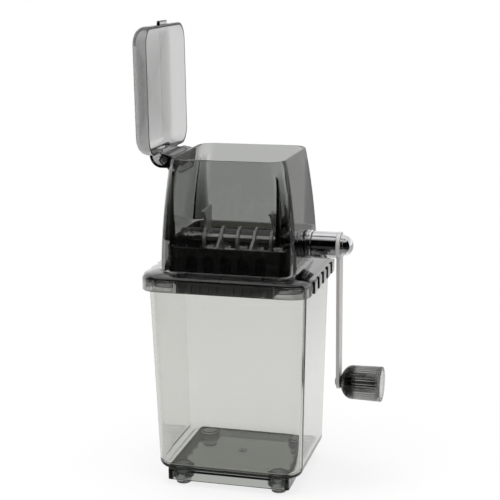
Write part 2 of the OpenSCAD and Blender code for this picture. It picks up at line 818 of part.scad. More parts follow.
module knob_cap() {
    color(smoke_light) along_x(knob_x1 - cap_recess - cap_t, knob_z) rotate_extrude() polygon([
        [0, 0], [cap_r, 0], [cap_r, cap_t - 0.4], [cap_r - 0.4, cap_t], [0, cap_t]
    ]);
}

// ---- Lid ----

// The lug that wraps the hinge pin, round the pin's axis, with the lid closed
module lug() {
    wall_in = lid_wall - lid_hx - hinge_x - 0.4;
    rim_up = lid_rim - hinge_z;
    top = lid_top - hinge_z - lug_drop;
    shoulder = top - lug_round;
    across_y(0, lug_w) circle(barrel_r);
    intersection() {
        across_y(0, lug_w) translate([lug_round - lug_left, shoulder]) circle(lug_round);
        translate([-lug_left - 1, -lug_w, shoulder]) cube([lug_round + 1, 2 * lug_w, lug_round + 1]);
    }
    across_y(0, lug_w) polygon([
        [-lug_left, -barrel_r + 0.2], [0, -barrel_r], [barrel_r, 0], [barrel_r, rim_up],
        [wall_in, rim_up], [wall_in, top], [lug_round - lug_left, top],
        [lug_round - lug_left, shoulder], [-lug_left, shoulder]
    ]);
}

// The lid as it lies closed on the hopper
module closed_lid() {
    difference() {
        union() {
            difference() {
                pillow(lid_hx, lid_hy, lid_corner, lid_rim, lid_top, lid_edge);
                pillow(lid_hx - lid_wall, lid_hy - lid_wall, lid_corner - lid_wall, lid_rim - 1,
                       lid_top - lid_wall, lid_edge - lid_wall);
            }
            translate([hinge_x, 0, hinge_z]) lug();
            thumb_tab();
        }
        across_y_hole(hinge_pin_r + run_gap);
        translate([hinge_x - pocket_reach, -pocket_w / 2, lid_rim + pocket_rise])
            cube([pocket_reach - hinge_x - lid_hx + lid_wall + 0.5, pocket_w, pocket_h]);
    }
}

module thumb_tab() {
    translate([lid_hx - 1, -tab_w / 2, lid_rim + 1.4]) cube([tab_out + 1, tab_w, 2.4]);
    for (sy = [-1, 1])
        translate([lid_hx - 1, sy * (tab_w / 2 - 1) - 1, lid_rim + 1.4]) cube([tab_out * 0.6 + 1, 2, 6]);
}

module lid() {
    color(smoke_light) translate([hinge_x, 0, hinge_z]) rotate([0, -lid_open, 0])
        translate([-hinge_x, 0, -hinge_z]) closed_lid();
}

// ---- Nodes ----

container();
base_tray();
foot(-1, -1);  // foot_front_left
foot(1, -1);  // foot_front_right
foot(-1, 1);  // foot_rear_left
foot(1, 1);  // foot_rear_right
hopper();
chamber_frame();
front_comb();
rear_comb();
left_bush();
right_bush();
frame_screws();
comb_screws();
hinge_pin();
drive_shaft();
left_collar();
right_collar();
crank_hub();
crank_arm();
cap_nut();
knob_axle();
knob();
knob_cap();
lid();
for (i = [0 : claws - 1]) claw(i);
for (i = [0 : claws - 2]) spacer(i);
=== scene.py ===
# %% [markdown]
# # A hand-cranked ice crusher, dressed piece by piece
# The machine is a clear container on four feet, with a lift-off crusher head on top: a dark
# smoked hopper, a black frame, five hooked claws on a cranked shaft and a hinged lid.
# The CAD model comes in first as a fixed frame. Everything here is added on that frame, in metres, so a size
# of 57.6 mm is written mm(57.6). The dressed model has to fill the same box at the end.

# %% Load the fixed frame
import math

import bmesh
import bpy
from mathutils import Matrix, Vector


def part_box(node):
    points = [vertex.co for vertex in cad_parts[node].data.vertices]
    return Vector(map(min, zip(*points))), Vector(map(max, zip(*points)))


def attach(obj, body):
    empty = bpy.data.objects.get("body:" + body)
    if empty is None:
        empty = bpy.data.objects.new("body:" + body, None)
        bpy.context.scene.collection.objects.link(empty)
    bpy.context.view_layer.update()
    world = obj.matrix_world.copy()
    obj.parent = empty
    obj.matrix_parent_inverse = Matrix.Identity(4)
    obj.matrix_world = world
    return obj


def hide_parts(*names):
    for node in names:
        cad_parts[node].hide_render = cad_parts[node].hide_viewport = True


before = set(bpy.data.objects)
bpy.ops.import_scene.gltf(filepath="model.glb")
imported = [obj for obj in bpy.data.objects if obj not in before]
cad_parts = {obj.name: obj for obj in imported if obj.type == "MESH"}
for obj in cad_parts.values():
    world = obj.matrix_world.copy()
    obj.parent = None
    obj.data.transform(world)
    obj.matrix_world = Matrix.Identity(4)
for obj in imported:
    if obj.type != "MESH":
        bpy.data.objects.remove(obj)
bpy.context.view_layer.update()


def mm(*values):
    """Millimetres to metres: one number, or a tuple of them."""
    metres = tuple(v * 0.001 for v in values)
    return metres[0] if len(metres) == 1 else metres


# %% [markdown]
# ## The camera
# A product picture of a tall kitchen tool is taken from a little above, with a long lens, so
# that its upright edges stay nearly parallel. The camera could be aimed with a Track To
# constraint, but three vectors written out are exact: where it looks, what is right and what
# is up. A small roll is added because a hand-set tripod is never quite level.

# %% Place the camera
turn, tilt, roll = math.radians(15.1), math.radians(13.0), math.radians(-0.53)
look_at, distance = Vector(mm(6.9, 0, 170.3)), mm(917.6)
forward = -Vector((math.sin(turn) * math.cos(tilt), -math.cos(turn) * math.cos(tilt), math.sin(tilt)))
sideways = Vector((math.cos(turn), math.sin(turn), 0))
upward = sideways.cross(forward)
right = sideways * math.cos(roll) + upward * math.sin(roll)
up = upward * math.cos(roll) - sideways * math.sin(roll)
camera = bpy.data.objects.new("camera", bpy.data.cameras.new("camera"))
camera.data.lens, camera.data.sensor_width = 90.70, 36.0
camera.data.clip_start, camera.data.clip_end = 0.05, 30.0
place = look_at - forward * distance
camera.matrix_world = Matrix(
    [[right[i], up[i], -forward[i], place[i]] for i in range(3)] + [[0, 0, 0, 1]]
)
bpy.context.scene.collection.objects.link(camera)
bpy.context.scene.camera = camera
print("camera stands at", [round(c, 3) for c in place])

# %% [markdown]
# ## Sizes that several pieces share
# The hopper's walls lean outward on their way down and the container's lean inward. One small
# function for each gives the half width at any height, so that the walls, the bearing and the
# hinge all meet the same surface. The hopper's walls also bow out a little at mid-height. A
# ray can't tell apart two faces in the same place, so where two see-through pieces would
# touch, `AIR` keeps a hair's breadth between them.

# %% Shared sizes, in millimetres
FLOOR, RIM, DECK, DECK_TOP, MOUTH = 12.5, 157.0, 157.3, 160.0, 242.0
SHAFT, KNOB_AXIS = 177.0, 75.3
AIR = 0.06
HINGE_X, HINGE_Z, LID_OPEN = -49.1, 238.3, 90.5
CONTAINER_WALL, HOPPER_WALL, BOW = 2.2, 2.4, 7.0
FEET = ("foot_front_left", "foot_front_right", "foot_rear_left", "foot_rear_right")


def container_half(z):
    lean = 4.0 * (z - FLOOR) / 144.5
    return 53.6 + lean, 45.8 + lean


def hopper_half(z):
    fall = (MOUTH - z) / 82.0
    return 41.5 + 8.0 * fall + BOW * fall * (1 - fall), 41.9 + 3.2 * fall


def ends(box):
    """Where a node's box starts and ends along X, in millimetres."""
    return box[0].x * 1000, box[1].x * 1000


def middle(box):
    """The middle of a node's box, seen from above, in millimetres."""
    return (box[0].x + box[1].x) * 500, (box[0].y + box[1].y) * 500


print("container at the rim:", container_half(RIM), "hopper at the deck:", hopper_half(DECK_TOP))

# %% [markdown]
# ## Ways of making a shape
# Moulded plastic is mostly *lofted*: one outline, a rectangle with round corners, that changes
# as it rises. A cube with a Bevel modifier gives only one radius and no wall, so the outlines
# are written ring by ring and joined with faces. Going up the outside, over the rim and down
# the inside makes a true wall, which see-through plastic needs: light bends where it enters
# and where it leaves, and is dimmed by the thickness between.

# %% Rings and lofts
def ring(half_x, half_y, corner, z, steps=10):
    """A rectangle with round corners at height z, anticlockwise."""
    points = []
    for quarter, (sx, sy) in enumerate([(1, 1), (-1, 1), (-1, -1), (1, -1)]):
        for step in range(steps + 1):
            a = math.radians(90 * (quarter + step / steps))
            points.append((sx * (half_x - corner) + corner * math.cos(a),
                           sy * (half_y - corner) + corner * math.sin(a), z))
    return points


def new_piece(name, points, faces):
    """A mesh object from points in millimetres, with its faces turned outward."""
    mesh = bpy.data.meshes.new(name)
    mesh.from_pydata([mm(*p) for p in points], [], faces)
    made = bmesh.new()
    made.from_mesh(mesh)
    bmesh.ops.remove_doubles(made, verts=made.verts, dist=1e-6)
    bmesh.ops.delete(made, geom=[e for e in made.edges if not e.link_faces], context="EDGES")
    bmesh.ops.recalc_face_normals(made, faces=made.faces)
    made.to_mesh(mesh)
    made.free()
    piece = bpy.data.objects.new(name, mesh)
    bpy.context.scene.collection.objects.link(piece)
    return piece


def loft(name, rings, joined=False):
    """Faces between rings of equal count; joined closes last to first, else both ends are capped."""
    count = len(rings[0])
    points = [p for one in rings for p in one]
    faces = []
    for row in range(len(rings) if joined else len(rings) - 1):
        a, b = row * count, ((row + 1) % len(rings)) * count
        faces += [(a + i, a + (i + 1) % count, b + (i + 1) % count, b + i) for i in range(count)]
    if not joined:
        faces += [tuple(range(count)), tuple(range((len(rings) - 1) * count, len(points)))]
    return new_piece(name, points, faces)


def bend(radius, start, end, steps=5):
    """Offsets round a quarter or part of a circle, from one angle to another, in degrees."""
    return [(radius * math.cos(math.radians(start + (end - start) * s / steps)),
             radius * math.sin(math.radians(start + (end - start) * s / steps)))
            for s in range(steps + 1)]


# %% [markdown]
# Sharp inside corners hardly exist in moulded or turned parts, and it is the small rounds that
# catch the light. `soften` rounds the corners of an outline, each by its own radius. A turned
# part spins such an outline round its axis, and a stamped or sawn part pushes it through a
# thickness. Blender's Screw and Solidify modifiers do nearly the same, but give less control
# over where the points fall.

# %% Outlines, turned parts and plates
def soften(corners, steps=5, closed=True):
    """Rounds an outline's corners. Each corner is (u, v) or (u, v, radius)."""
    smooth, count = [], len(corners)
    for i, corner in enumerate(corners):
        here, radius = Vector(corner[:2]), corner[2] if len(corner) > 2 else 0
        if radius <= 0 or (not closed and i in (0, count - 1)):
            smooth.append(tuple(here))
            continue
        back, ahead = Vector(corners[i - 1][:2]) - here, Vector(corners[(i + 1) % count][:2]) - here
        half = back.angle(ahead) / 2
        reach = min(radius / math.tan(half), 0.49 * back.length, 0.49 * ahead.length)
        radius = reach * math.tan(half)
        back.normalize(), ahead.normalize()
        centre = here + (back + ahead).normalized() * (radius / math.sin(half))
        first, last = here + back * reach - centre, here + ahead * reach - centre
        sweep = first.angle(last)
        for s in range(steps + 1):
            t = s / steps
            spoke = (first * math.sin((1 - t) * sweep) + last * math.sin(t * sweep)) / math.sin(sweep)
            smooth.append(tuple(centre + spoke))
    return smooth


def turned(name, outline, x, z, y=0.0, upright=False, steps=72, joined=True, flute=None):
    """Spins an outline of (along, radius) round an axis: along +X, or upright along +Z."""
    rings = []
    for along, radius in outline:
        spokes = []
        for i in range(steps):
            a = math.tau * i / steps
            r = radius + (flute(along, radius, a) if flute else 0.0)
            u, v = r * math.cos(a), r * math.sin(a)
            spokes.append((x + u, y + v, z + along) if upright else (x + along, y + u, z + v))
        rings.append(spokes)
    return loft(name, rings, joined)


def plate(name, outline, low, high, plane="xz", edge=0.0, segments=2):
    """Pushes an outline through a thickness; plane says what it is drawn in. Its edges are rounded when an
    edge width is given.
    """
    lift = {"xz": lambda u, v, t: (u, t, v), "yz": lambda u, v, t: (t, u, v),
            "xy": lambda u, v, t: (u, v, t)}[plane]
    piece = loft(name, [[lift(u, v, t) for u, v in outline] for t in (low, high)])
    if edge:
        round_edges(piece, edge, segments)
    return piece


def block(name, low, high, edge=0.4, segments=2):
    """A small box with rounded edges, from corner to corner."""
    outline = [(low[0], low[1]), (high[0], low[1]), (high[0], high[1]), (low[0], high[1])]
    return plate(name, outline, low[2], high[2], plane="xy", edge=edge, segments=segments)


# %% [markdown]
# ## Joining and cutting
# A see-through part has to be one skin: where two overlapping pieces only stand in each other,
# every inner face shows. Ears, ribs and bosses are therefore joined to the hopper with Boolean
# modifiers, and the result is written back as a plain mesh. `shade` makes round surfaces smooth
# while it keeps real edges crisp, which is what a weighted normal is for. `dress` gives a piece
# its finish and its place among the moving bodies, and `measure` looks for holes in its skin.

# %% Booleans, edges and shading
def settle(piece):
    """Turns a piece's modifiers into its own mesh."""
    seen = bpy.context.evaluated_depsgraph_get()
    mesh = bpy.data.meshes.new_from_object(piece.evaluated_get(seen))
    piece.modifiers.clear()
    piece.data = mesh
    return piece


def round_edges(piece, width, segments=2, angle=40):
    bevel = piece.modifiers.new("edges", "BEVEL")
    bevel.width, bevel.segments = mm(width), segments
    bevel.limit_method, bevel.angle_limit = "ANGLE", math.radians(angle)
    bevel.use_clamp_overlap = True
    return settle(piece)


def heal(piece, near=3e-6):
    """Merges points that a cut left almost on top of each other, which would leave open edges."""
    made = bmesh.new()
    made.from_mesh(piece.data)
    bmesh.ops.remove_doubles(made, verts=made.verts, dist=near)
    bmesh.ops.dissolve_degenerate(made, edges=made.edges, dist=near)
    made.to_mesh(piece.data)
    made.free()


def carve(piece, operation, *tools):
    """Joins (UNION) or cuts (DIFFERENCE) the tools in turn, and throws them away."""
    for tool in tools:
        step = piece.modifiers.new("carve", "BOOLEAN")
        step.operation, step.object, step.solver = operation, tool, "EXACT"
        settle(piece)
        heal(piece)
        bpy.data.objects.remove(tool)
    return piece


def shade(piece, angle=32):
    """Smooth faces, crisp edges sharper than the angle, normals led by the large faces."""
    piece.data.polygons.foreach_set("use_smooth", [True] * len(piece.data.polygons))
    piece.data.set_sharp_from_angle(angle=math.radians(angle))
    weighted = piece.modifiers.new("normals", "WEIGHTED_NORMAL")
    weighted.keep_sharp, weighted.weight = True, 80
    return piece


def dress(piece, finish, body, slot, *nodes):
    """Gives a piece its finish, the body it moves with and the CAD nodes that it stands for."""
    piece.data.materials.clear()
    piece.data.materials.append(finish)
    shade(piece)
    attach(piece, body)
    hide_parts(*nodes)
    sides = len(piece.data.polygons)
    loose = sum(1 for e in measure(piece) if e)
    print(f"{piece.name}: {sides} faces, {loose} open edges, stands for {', '.join(nodes)}")
    return piece


def measure(piece):
    """For each edge, whether it lacks one of its two faces. A see-through piece must have none."""
    made = bmesh.new()
    made.from_mesh(piece.data)
    open_edges = [len(e.link_faces) != 2 for e in made.edges]
    made.free()
    return open_edges


# %% [markdown]
# ## Shader maths as plain sums
# A material in Blender is a graph of nodes. Written node by node it is long and hides its
# idea, so one small class wraps a socket and lets it be added and multiplied like a number.
# Every other node comes from `Finish.node`, which takes the kind of node, its settings and
# what goes into its sockets. Numbers alone are worked out in Python and add no node.

# %% A socket that can be calculated with
class Socket:
    def __init__(self, finish, socket):
        self.finish, self.socket = finish, socket

    def maths(self, operation, first, second):
        return self.finish.node("Math", {"operation": operation}, {0: first, 1: second})

    def __add__(self, other):
        return self.maths("ADD", self, other)

    __radd__ = __add__

    def __sub__(self, other):
        return self.maths("SUBTRACT", self, other)

    def __rsub__(self, other):
        return self.maths("SUBTRACT", other, self)

    def __mul__(self, other):
        return self.maths("MULTIPLY", self, other)

    __rmul__ = __mul__

    def size(self):
        """The value without its sign."""
        return self.finish.node("Math", {"operation": "ABSOLUTE"}, {0: self})

    def at_most(self, other):
        return self.maths("MINIMUM", self, other)

    def at_least(self, other):
        return self.maths("MAXIMUM", self, other)


class Finish:
    """One material, built node by node."""

    def __init__(self, name):
        self.material = bpy.data.materials.new(name)
        self.material.use_nodes = True
        self.tree = self.material.node_tree
        self.tree.nodes.clear()

    def node(self, kind, settings=None, values=None, give=0):
        made = self.tree.nodes.new("ShaderNode" + kind)
        for key, setting in (settings or {}).items():
            if key == "stops":
                while len(made.color_ramp.elements) < len(setting):
                    made.color_ramp.elements.new(0.5)
                for stop, (position, level) in zip(made.color_ramp.elements, setting):
                    stop.position, stop.color = position, (level, level, level, 1)
            else:
                setattr(made, key, setting)
        for key, value in (values or {}).items():
            socket = made.inputs[key]
            if isinstance(value, Socket):
                self.tree.links.new(value.socket, socket)
            else:
                socket.default_value = value
        return Socket(self, made.outputs[give])

    def blend(self, share, first, second):
        """A colour between two colours."""
        return self.node("Mix", {"data_type": "RGBA"}, {0: share, 6: first, 7: second}, give=2)

    def noise(self, size, detail=2.0, stretch=(1, 1, 1), rough=0.5):
        """Noise whose blotches are about `size` millimetres across, stretched along an axis."""
        place = self.node("TexCoord", give="Object")
        where = self.node("VectorMath", {"operation": "MULTIPLY"},
                          {0: place, 1: tuple(1 / (mm(size) * s) for s in stretch)})
        return self.node("TexNoise", {"noise_dimensions": "3D"},
                         {"Vector": where, "Scale": 1.0, "Detail": detail, "Roughness": rough}, give="Fac")

    def ramp(self, value, *stops):
        return self.node("ValToRGB", {"stops": stops}, {"Fac": value})

    def along(self, axis):
        """How far a point of the piece lies along x, y or z, in millimetres."""
        place = self.node("TexCoord", give="Object")
        return self.node("SeparateXYZ", {}, {0: place}, give="xyz".index(axis)) * 1000.0

    def slope(self, value, zero, one):
        """0 where the value is `zero`, 1 where it is `one`, straight between and flat beyond."""
        return self.node("MapRange", {}, {"Value": value, "From Min": zero, "From Max": one})

    def bump(self, height, depth, strength=1.0):
        """A relief of `depth` millimetres."""
        return self.node("Bump", {}, {"Height": height, "Distance": mm(depth), "Strength": strength},
                         give="Normal")

    def done(self, surface, volume=None):
        end = self.tree.nodes.new("ShaderNodeOutputMaterial")
        self.tree.links.new(surface.socket, end.inputs["Surface"])
        if volume:
            self.tree.links.new(volume.socket, end.inputs["Volume"])
        return self.material


# %% [markdown]
# ## Smoked see-through plastic
# The container, hopper, tray, lid and knob are moulded in one family of clear plastic with
# more or less dark dye, and the feet's rubber is made the same way. A see-through colour could be painted on the surface, but dye works by
# depth: a wall seen edge-on is far darker than one seen square-on, and those dark edges are
# what makes such plastic look real. So the surface is clear, and a Volume Absorption node
# holds the dye. Its density says how fast light is lost on its way, per metre. The surface
# gets what moulding and handling leave: slow flow waves, a few hairline scratches, a smear of
# dust. The hopper's deck and collar are polished higher than its walls, which a coat adds. The
# knob's cap lets through only half of the light and scatters the rest, so it looks frosted.

# %% The smoked plastics
def smoked(name, dye, polish=0.02, grain=0.0, tint=(0.02, 0.04, 0.0), glossy_below=None, clear=1.0):
    """Clear plastic or rubber with a dye; it gets a glossy coat below the given height."""
    f = Finish(name)
    flow = f.noise(38, detail=1.0)
    hairs = f.ramp(f.noise(1.1, detail=3.0, stretch=(1, 1, 14)), (0.62, 0.0), (0.70, 1.0))
    smear = f.ramp(f.noise(24, detail=4.0, rough=0.62), (0.48, 0.0), (0.72, 1.0))
    relief = f.bump(flow, 0.10, 0.5)
    if grain:
        fine = f.noise(0.35, detail=2.0)
        relief = f.node("Bump", {}, {"Height": fine, "Distance": mm(grain), "Strength": 0.6,
                                     "Normal": relief}, give="Normal")
    coat = f.slope(f.along("z"), glossy_below + 2.6, glossy_below) if glossy_below else 0.0
    skin = f.node("BsdfPrincipled", {}, {
        "Base Color": (1, 1, 1, 1), "Transmission Weight": clear, "IOR": 1.49,
        "Roughness": polish + 0.03 * smear + 0.03 * hairs, "Normal": relief,
        "Coat Weight": coat, "Coat IOR": 1.9, "Coat Roughness": 0.03})
    return f.done(skin, f.node("VolumeAbsorption", {}, {"Color": (*tint, 1), "Density": dye}))


dyes = {"container": 92, "hopper": 300, "lid": 200, "tray": 340, "knob": 215, "cap": 12, "foot": 50}
clear_plastic = smoked("container_clear_plastic", dyes["container"], tint=(0.12, 0.14, 0.02))
dark_plastic = smoked("hopper_smoked_plastic", dyes["hopper"], glossy_below=163)
lid_plastic = smoked("lid_smoked_plastic", dyes["lid"], tint=(0.01, 0.01, 0.0))
tray_plastic = smoked("tray_smoked_plastic", dyes["tray"], polish=0.04, grain=0.004, tint=(0.04, 0.07, 0.0))
knob_plastic = smoked("knob_smoked_plastic", dyes["knob"], polish=0.05)
cap_plastic = smoked("knob_cap_frosted_plastic", dyes["cap"], polish=0.38, grain=0.01, clear=0.5)
grey_rubber = smoked("foot_grey_rubber", dyes["foot"], polish=0.30, grain=0.02)
print("dye densities:", dyes)

# %% [markdown]
# ## Metals
# Chrome plating is a mirror with faint waves from the polishing under it, and finger marks
# that only dull it a little. Brushed stainless steel has fine scratches that all run one way.
# Real scratches would need thousands of grooves; noise stretched forty times along the brushing gives the
# same streaks in both roughness and relief. The crank's arm and the claws get a satin finish, less metallic
# than the rest. Both are also given a paler colour of the same steel, painted light: lit copies of it. The
# combs are given a darker colour of the same steel, painted shade.

# %% Chrome and brushed steel
def chrome_plate(name):
    f = Finish(name)
    marks = f.ramp(f.noise(9, detail=5.0, rough=0.65), (0.45, 0.0), (0.75, 1.0))
    waves = f.noise(6, detail=1.0)
    colour = f.blend(marks, (0.90, 0.90, 0.91, 1), (0.80, 0.80, 0.82, 1))
    return f.done(f.node("BsdfPrincipled", {}, {
        "Base Color": colour, "Metallic": 1.0, "Roughness": 0.035 + 0.09 * marks,
        "Normal": f.bump(waves, 0.012, 0.5)}))


def brushed_steel(name, along, shade=1.0, metal=1.0, rough=0.20):
    """Steel brushed along an axis; the shade makes all its colours paler or darker, as painted light or
    painted shade.
    """
    f = Finish(name)

    def shaded(red, green, blue):
        return red * shade, green * shade, blue * shade, 1

    stretch = tuple(40 if axis == along else 1 for axis in "xyz")
    streaks = f.noise(0.28, detail=3.0, stretch=stretch, rough=0.6)
    stains = f.ramp(f.noise(14, detail=4.0), (0.40, 0.0), (0.75, 1.0))
    tone = f.blend(streaks, shaded(0.42, 0.41, 0.40), shaded(0.68, 0.67, 0.66))
    colour = f.blend(stains * 0.35, tone, shaded(0.50, 0.48, 0.46))
    return f.done(f.node("BsdfPrincipled", {}, {
        "Base Color": colour, "Metallic": metal,
        "Roughness": rough + 0.12 * streaks + 0.08 * stains,
        "Normal": f.bump(streaks, 0.02, 0.6)}))


chrome = chrome_plate("chrome_plate")
# Painted light: the arm's steel is made paler, a lit copy of the same steel.
steel_arm = brushed_steel("steel_satin_upright_painted_light", "z", shade=1.25, metal=0.4, rough=0.32)
# Painted shade: the combs' steel is made darker, a shaded copy of the same steel.
steel_comb = brushed_steel("steel_comb_painted_shade", "x", shade=0.16, rough=0.35)
steel_across = brushed_steel("steel_brushed_across", "x")
# Painted light: the claws' steel is made paler, a lit copy of the same steel.
steel_claw = brushed_steel("steel_brushed_claws_painted_light", "y", shade=1.3, metal=0.6)

# %% [markdown]
# ## Black plastic
# The frame inside the hopper is opaque black plastic with the fine matt grain of its mould.
# A flat black would look like a hole, so the grain breaks the gloss, and a little pale scale from melted ice
# lies on it in scattered spots. The faces that stand out are painted paler than the arches sunk into them, a
# painted highlight; each slat below them is paler still, a painted reflection; and the inner face of the rear
# wall's top is painted paler too, a painted sheen. None of these is a piece of its own: each mask only asks
# how far out and how high a point lies.

# %% Frame plastic
def frame_plastic(name):
    f = Finish(name)
    grain = f.noise(0.22, detail=2.0)
    scale = f.ramp(f.noise(11, detail=5.0, rough=0.65), (0.52, 0.0), (0.80, 1.0))
    depth, height = f.along("y"), f.along("z")
    # Painted highlight: the faces that stand out are made paler than the arches sunk into them.
    faces = 0.6 * f.slope(depth.size(), 39.2, 39.68)
    # Painted reflection: the outer face of each slat gets a pale grey.
    slat_painted_reflection = f.slope(depth.size(), 40.67, 42.22)
    # Painted sheen: the inner face of the rear wall's top gets a pale olive grey.
    rear_top_painted_sheen = f.slope(depth, 32.9, 33.8) * f.slope(depth, 39.64, 39.33) * f.slope(height, 178.0, 178.5)
    scale_and_painted_highlight = scale * 0.5 + grain * 0.15 + faces
    colour = f.blend(scale_and_painted_highlight, (0.006, 0.006, 0.006, 1), (0.050, 0.050, 0.047, 1))
    # The painted reflection goes on each slat.
    colour = f.blend(slat_painted_reflection, colour, (0.40, 0.40, 0.385, 1))
    # The painted sheen goes on the inner face of the rear wall's top.
    colour = f.blend(rear_top_painted_sheen, colour, (0.30, 0.30, 0.26, 1))
    return f.done(f.node("BsdfPrincipled", {}, {
        "Base Color": colour, "Roughness": 0.24 + 0.10 * scale + 0.06 * grain,
        "Normal": f.bump(grain, 0.004, 0.7)}))


black_plastic = frame_plastic("frame_black_plastic")

# %% [markdown]
# ## The container
# A tall open box that narrows toward the floor, with a generous round where the walls meet it
# so that ice can be shaken out. It is lofted up the outside, over a rounded rim, and down the
# inside. A small round gate mark shows where the plastic entered the mould, and four shallow
# round spots mark where the feet sit below.

# %% Make the container
def container_rings():
    wall, bottom, rings = CONTAINER_WALL, 4.5, []
    for step in range(11):
        a = math.radians(9 * step)
        z, back = FLOOR + AIR + bottom * (1 - math.cos(a)), bottom * (1 - math.sin(a))
        hx, hy = container_half(z)
        rings.append(ring(hx - back, hy - back, 13 - back * 0.5, z))
    for z in (60, 110, 140):
        hx, hy = container_half(z)
        rings.append(ring(hx, hy, 13, z))
    hx, hy = container_half(RIM)
    for out, high in bend(0.7, 0, 90, 3):
        rings.append(ring(hx - 0.7 + out, hy - 0.7 + out, 12.3 + out, RIM - 0.7 + high))
    for out, high in bend(0.7, 90, 0, 3):
        inset = wall - 0.7 + out
        rings.append(ring(hx - inset, hy - inset, 13 - inset, RIM - 0.7 + high))
    for z in (140, 110, 60):
        hx, hy = container_half(z)
        rings.append(ring(hx - wall, hy - wall, 13 - wall, z))
    for step in range(10, -1, -1):
        a = math.radians(9 * step)
        z, back = FLOOR + wall + bottom * (1 - math.cos(a)), bottom * (1 - math.sin(a))
        hx, hy = container_half(z)
        rings.append(ring(hx - back - wall, hy - back - wall, 13 - back * 0.5 - wall, z))
    return rings


container = loft("container_shell", container_rings())
gate = turned("gate", soften([(-0.4, 0), (-0.4, 3.2), (0.25, 3.2, 0.2), (0.25, 2.6, 0.1), (0.08, 2.4, 0.1),
                              (0.08, 1.2, 0.1), (0.35, 0.9, 0.1), (0.35, 0)], 2, closed=False),
              0, FLOOR + CONTAINER_WALL, upright=True, steps=40, joined=False)
spot = soften([(-0.4, 0), (-0.4, 6.2), (0.45, 6.2, 0.35), (0.45, 5.3, 0.2), (0.2, 5.0, 0.2), (0.2, 0)],
              3, closed=False)
spots = []
for name in FEET:
    x, y = middle(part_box(name))
    spots.append(turned("foot_spot", spot, x, FLOOR + CONTAINER_WALL, y=y, upright=True, steps=48,
                        joined=False))
carve(container, "UNION", gate, *spots)
dress(container, clear_plastic, "container_body", "container_plastic", "container")

# %% [markdown]
# ## The feet
# Four soft feet of see-through grey rubber are pushed into bosses of the tray. Each is a
# short turned plug with a chamfer at the ground and a shallow hollow underneath, which keeps
# it from rocking.

# %% Make the feet
for name in FEET:
    x, y = middle(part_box(name))
    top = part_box(name)[1].z * 1000
    outline = soften([(0.5, 0), (0.5, 3.2, 0.3), (0.0, 3.8, 0.3), (0.0, 5.4, 0.4), (top - 4.6, 6.55, 1.0),
                      (top - 3.0, 6.8, 0.4), (top, 6.8, 0.3), (top, 0)], 4, closed=False)
    plug = turned("rubber_" + name, outline, x, 0.0, y=y, upright=True, steps=48, joined=False)
    dress(plug, grey_rubber, "container_body", "foot_rubber", name)

# %% [markdown]
# ## The hopper, its deck and its collar
# One moulding holds the ice, covers the container and hooks over its rim. In section it is a
# single line that goes round: up the outside of the collar, in along the deck, up the hopper's
# wall, over the mouth and back down the inside. Because the last ring meets the first, this
# loft is closed like a tyre. Its inner corners hold slim quarter-round columns that grow
# downward and stiffen it; seen through the dark wall their edges make black streaks. The
# hinge ears, the bearing boss, the grip ribs and the locating lip are joined on, then the
# bores and the framed recesses are cut.

# %% Loft the hopper
def column_ring(z, reach, share):
    """The inside at height z. A share of 1 has a full quarter-round column in each corner, 0 none."""
    hx, hy = (half - HOPPER_WALL for half in hopper_half(z))
    points = []
    for sx, sy in ((1, 1), (-1, 1), (-1, -1), (1, -1)):
        for step in range(11):
            a = math.radians(9 * (step if sx * sy > 0 else 10 - step))
            points.append((sx * (hx - reach * math.sin(a)), sy * (hy - reach * math.cos(a)), z))
    return [tuple(p + (q - p) * share for p, q in zip(old, new))
            for old, new in zip(ring(hx, hy, 8.4, z), points)]


def hopper_rings():
    rings = []
    for out, high in bend(0.5, -90, 0, 2):
        rings.append(ring(61.1 + out, 53.5 + out, 13.5 + out, 149.5 + high))
    for out, high in bend(4.6, 0, 78, 8):
        rings.append(ring(57.0 + out, 49.4 + out, 9.4 + out, 156.0 + high))
    rings.append(ring(55.2, 49.0, 10.4, 161.2))
    for across, high in ((2.2, 161.85), (1.3, 162.0), (0.7, 162.25), (0.25, 162.75), (0.0, 163.6)):
        hx, hy = hopper_half(high)
        rings.append(ring(hx + across, hy + across, 12 + across, high))
    for z in (170, 177, 184, 192, 200, 208, 216, 224, 232, 238):
        hx, hy = hopper_half(z)
        rings.append(ring(hx, hy, 12, z))
    for out, high in bend(0.75, 0, 90, 4):
        rings.append(ring(40.75 + out, 41.15 + out, 11.25 + out, MOUTH - 0.75 + high))
    for out, high in bend(0.75, 90, 0, 4):
        rings.append(ring(39.85 - out, 40.25 - out, 9.35 - out, MOUTH - 0.75 + high))
    for z, reach, share in ((238, 3, 0.0), (235, 3.4, 0.3), (232, 4.2, 0.8), (229, 4.8, 1.0), (222, 5.6, 1.0),
                          (214, 6.6, 1.0), (206, 7.6, 1.0), (198, 8.6, 1.0), (190, 9.6, 1.0),
                          (184.6, 10.2, 1.0), (184.0, 9.0, 0.0)):
        rings.append(column_ring(z, reach, share))
    for z in (177, 170, 163.3):
        hx, hy = hopper_half(z)
        rings.append(ring(hx - HOPPER_WALL, hy - HOPPER_WALL, 8.4, z))
    for out, high in bend(0.5, 180, 270, 2):
        hx, hy = hopper_half(DECK)
        rings.append(ring(hx - 1.9 + out, hy - 1.9 + out, 8.1 + out, DECK + 0.5 + high))
    for out, high in bend(2.4, 90, 0, 6):
        rings.append(ring(57.0 + out, 49.4 + out, 9.4 + out, DECK - 2.4 + high))
    for out, high in bend(0.5, 180, 270, 2):
        rings.append(ring(59.9 + out, 52.3 + out, 12.3 + out, 149.5 + high))
    return rings


hopper = loft("hopper_moulding", hopper_rings(), joined=True)
print("hopper shell:", len(hopper.data.polygons), "faces")

# %% [markdown]
# The collar's ends carry grip ribs for wet fingers, and its front and back carry two shallow
# framed recesses each. The lip inside the deck drops into the container at its two ends.

